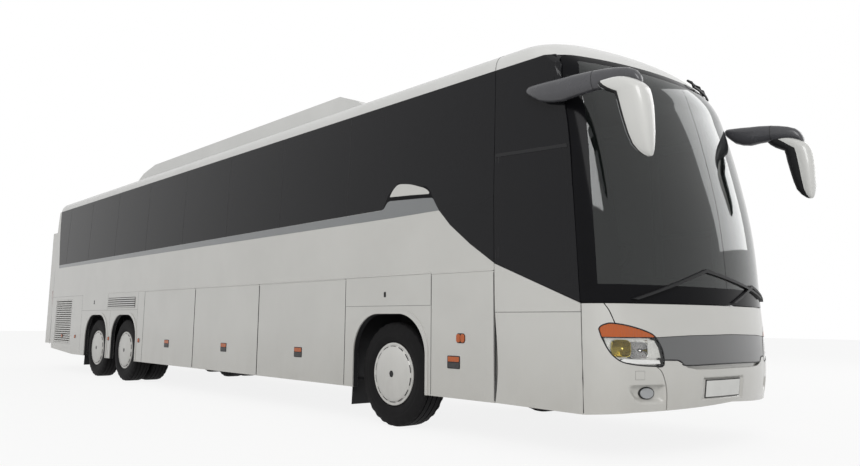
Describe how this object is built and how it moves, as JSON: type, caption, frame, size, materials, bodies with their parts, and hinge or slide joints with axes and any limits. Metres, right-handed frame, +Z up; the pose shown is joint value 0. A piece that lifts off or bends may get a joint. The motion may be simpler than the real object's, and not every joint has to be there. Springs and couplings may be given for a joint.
{
  "type": "touring coach",
  "caption": "Long high-deck touring coach with a bowed windscreen, dark bonded side glass, horn mirrors, underfloor luggage flaps, outward-swinging doors and a rear luggage box.",
  "frame": {"origin": "on the ground at the middle of the overall box, mirrors and rear box included", "axes": "+X to the coach's left side, -Y to its front, +Z up"},
  "size_m": [2.98, 15.215, 3.69],
  "materials": {
    "axle_metal": "forged and cast axle parts",
    "black_plastic": "black moulded plastic",
    "chassis_paint": "black chassis paint",
    "wheel_paint": "white painted steel wheel and cover",
    "tyre_rubber": "black tyre rubber",
    "seat_cloth": "woven seat cloth",
    "body_paint": "glossy off-white coachwork paint",
    "grey_paint": "satin grey paint",
    "dark_glass": "dark tinted glass",
    "lamp_cover": "clear and orange lamp covers",
    "tail_lamp": "red lamp covers",
    "windscreen_glass": "lightly tinted glass"
  },
  "bodies": {
    "coach_body": {"axles": "axle_metal", "cab_frame": "black_plastic", "chassis_members": "chassis_paint", "chassis_rails": "chassis_paint", "dashboard": "black_plastic", "driver_seat": "seat_cloth", "engine_block": "axle_metal", "engine_grilles": "black_plastic", "floor_deck": "grey_paint", "front_lamps": "lamp_cover", "front_panel": "body_paint", "luggage_bay": "grey_paint", "luggage_racks": "grey_paint", "mirrors": "body_paint", "passenger_seats": "seat_cloth", "rear_box": "body_paint", "rear_box_brackets": "grey_paint", "rear_lamps": "tail_lamp", "rear_panel": "body_paint", "rear_window": "dark_glass", "roof": "body_paint", "roof_unit": "body_paint", "side_glass": "dark_glass", "side_wall_left": "body_paint", "side_wall_right": "body_paint", "wheel_housings": "black_plastic", "windscreen": "windscreen_glass", "wipers": "black_plastic"},
    "steering_knuckle_left": {"steering_knuckle_left": "axle_metal"},
    "steering_knuckle_right": {"steering_knuckle_right": "axle_metal"},
    "front_wheel_left": {"front_wheel_left_tyre": "tyre_rubber", "front_wheel_left_rim": "wheel_paint"},
    "front_wheel_right": {"front_wheel_right_tyre": "tyre_rubber", "front_wheel_right_rim": "wheel_paint"},
    "drive_wheel_left": {"drive_wheel_left_tyre": "tyre_rubber", "drive_wheel_left_rim": "wheel_paint"},
    "drive_wheel_right": {"drive_wheel_right_tyre": "tyre_rubber", "drive_wheel_right_rim": "wheel_paint"},
    "tag_wheel_left": {"tag_wheel_left_tyre": "tyre_rubber", "tag_wheel_left_rim": "wheel_paint"},
    "tag_wheel_right": {"tag_wheel_right_tyre": "tyre_rubber", "tag_wheel_right_rim": "wheel_paint"},
    "flap_right_front": {"flap_right_front": "body_paint"},
    "flap_right_1": {"flap_right_1": "body_paint"},
    "flap_right_2": {"flap_right_2": "body_paint"},
    "flap_right_3": {"flap_right_3": "body_paint"},
    "flap_left_front": {"flap_left_front": "body_paint"},
    "flap_left_1": {"flap_left_1": "body_paint"},
    "flap_left_2": {"flap_left_2": "body_paint"},
    "front_door_arm": {"front_door_arm": "grey_paint"},
    "front_door": {"front_door": "body_paint", "front_door_glass": "dark_glass"},
    "mid_door_arm": {"mid_door_arm": "grey_paint"},
    "mid_door": {"mid_door": "body_paint", "mid_door_glass": "dark_glass"},
    "roof_hatch_front": {"roof_hatch_front": "body_paint"},
    "roof_hatch_rear": {"roof_hatch_rear": "body_paint"},
    "rear_box_door_left": {"rear_box_door_left": "body_paint"},
    "rear_box_door_right": {"rear_box_door_right": "body_paint"}
  },
  "joints": [
    {"name": "steer_left", "type": "hinge", "parent": "coach_body", "child": "steering_knuckle_left", "pos_m": [0.95, -4.5425, 0.505], "axis": [0, 0, 1], "range_deg": [-42, 42]},
    {"name": "steer_right", "type": "hinge", "parent": "coach_body", "child": "steering_knuckle_right", "pos_m": [-0.95, -4.5425, 0.505], "axis": [0, 0, 1], "range_deg": [-42, 42]},
    {"name": "front_wheel_left_roll", "type": "hinge", "parent": "steering_knuckle_left", "child": "front_wheel_left", "pos_m": [1.0875, -4.5425, 0.505], "axis": [1, 0, 0], "continuous": true},
    {"name": "front_wheel_right_roll", "type": "hinge", "parent": "steering_knuckle_right", "child": "front_wheel_right", "pos_m": [-1.0875, -4.5425, 0.505], "axis": [1, 0, 0], "continuous": true},
    {"name": "drive_wheel_left_roll", "type": "hinge", "parent": "coach_body", "child": "drive_wheel_left", "pos_m": [1.0875, 2.5675, 0.505], "axis": [1, 0, 0], "continuous": true},
    {"name": "drive_wheel_right_roll", "type": "hinge", "parent": "coach_body", "child": "drive_wheel_right", "pos_m": [-1.0875, 2.5675, 0.505], "axis": [1, 0, 0], "continuous": true},
    {"name": "tag_wheel_left_roll", "type": "hinge", "parent": "coach_body", "child": "tag_wheel_left", "pos_m": [1.0875, 3.9175, 0.505], "axis": [1, 0, 0], "continuous": true},
    {"name": "tag_wheel_right_roll", "type": "hinge", "parent": "coach_body", "child": "tag_wheel_right", "pos_m": [-1.0875, 3.9175, 0.505], "axis": [1, 0, 0], "continuous": true},
    {"name": "flap_right_front_hinge", "type": "hinge", "parent": "coach_body", "child": "flap_right_front", "pos_m": [-1.275, -5.5575, 1.459], "axis": [0, 1, 0], "range_deg": [0, 85]},
    {"name": "flap_right_1_hinge", "type": "hinge", "parent": "coach_body", "child": "flap_right_1", "pos_m": [-1.275, -2.8675, 1.459], "axis": [0, 1, 0], "range_deg": [0, 85]},
    {"name": "flap_right_2_hinge", "type": "hinge", "parent": "coach_body", "child": "flap_right_2", "pos_m": [-1.275, -1.0325, 1.459], "axis": [0, 1, 0], "range_deg": [0, 85]},
    {"name": "flap_right_3_hinge", "type": "hinge", "parent": "coach_body", "child": "flap_right_3", "pos_m": [-1.275, 0.8025, 1.459], "axis": [0, 1, 0], "range_deg": [0, 85]},
    {"name": "flap_left_front_hinge", "type": "hinge", "parent": "coach_body", "child": "flap_left_front", "pos_m": [1.275, -5.5575, 1.459], "axis": [0, -1, 0], "range_deg": [0, 85]},
    {"name": "flap_left_1_hinge", "type": "hinge", "parent": "coach_body", "child": "flap_left_1", "pos_m": [1.275, -2.7675, 1.459], "axis": [0, -1, 0], "range_deg": [0, 85]},
    {"name": "flap_left_2_hinge", "type": "hinge", "parent": "coach_body", "child": "flap_left_2", "pos_m": [1.275, -0.7175, 1.459], "axis": [0, -1, 0], "range_deg": [0, 85]},
    {"name": "front_door_swing", "type": "hinge", "parent": "coach_body", "child": "front_door_arm", "pos_m": [1.15, -6.6825, 0.6], "axis": [0, 0, -1], "range_deg": [0, 90]},
    {"name": "front_door_pivot", "type": "hinge", "parent": "front_door_arm", "child": "front_door", "pos_m": [1.15, -6.0125, 0.6], "axis": [0, 0, -1], "range_deg": [-90, 0]},
    {"name": "mid_door_swing", "type": "hinge", "parent": "coach_body", "child": "mid_door_arm", "pos_m": [1.15, 1.1375, 0.6], "axis": [0, 0, 1], "range_deg": [0, 90]},
    {"name": "mid_door_pivot", "type": "hinge", "parent": "mid_door_arm", "child": "mid_door", "pos_m": [1.15, 0.3855, 0.6], "axis": [0, 0, 1], "range_deg": [-90, 0]},
    {"name": "roof_hatch_front_hinge", "type": "hinge", "parent": "coach_body", "child": "roof_hatch_front", "pos_m": [0, -4.9375, 3.5904], "axis": [1, 0, 0], "range_deg": [0, 40]},
    {"name": "roof_hatch_rear_hinge", "type": "hinge", "parent": "coach_body", "child": "roof_hatch_rear", "pos_m": [0, 4.4125, 3.5904], "axis": [1, 0, 0], "range_deg": [0, 40]},
    {"name": "rear_box_door_left_hinge", "type": "hinge", "parent": "coach_body", "child": "rear_box_door_left", "pos_m": [1.1, 7.6075, 1.685], "axis": [0, 0, -1], "range_deg": [0, 110]},
    {"name": "rear_box_door_right_hinge", "type": "hinge", "parent": "coach_body", "child": "rear_box_door_right", "pos_m": [-1.1, 7.6075, 1.685], "axis": [0, 0, 1], "range_deg": [0, 110]}
  ],
  "couplings": [
    {"joint": "steer_right", "follows": "steer_left", "ratio": 1},
    {"joint": "front_door_pivot", "follows": "front_door_swing", "ratio": -1},
    {"joint": "mid_door_pivot", "follows": "mid_door_swing", "ratio": -1}
  ]
}
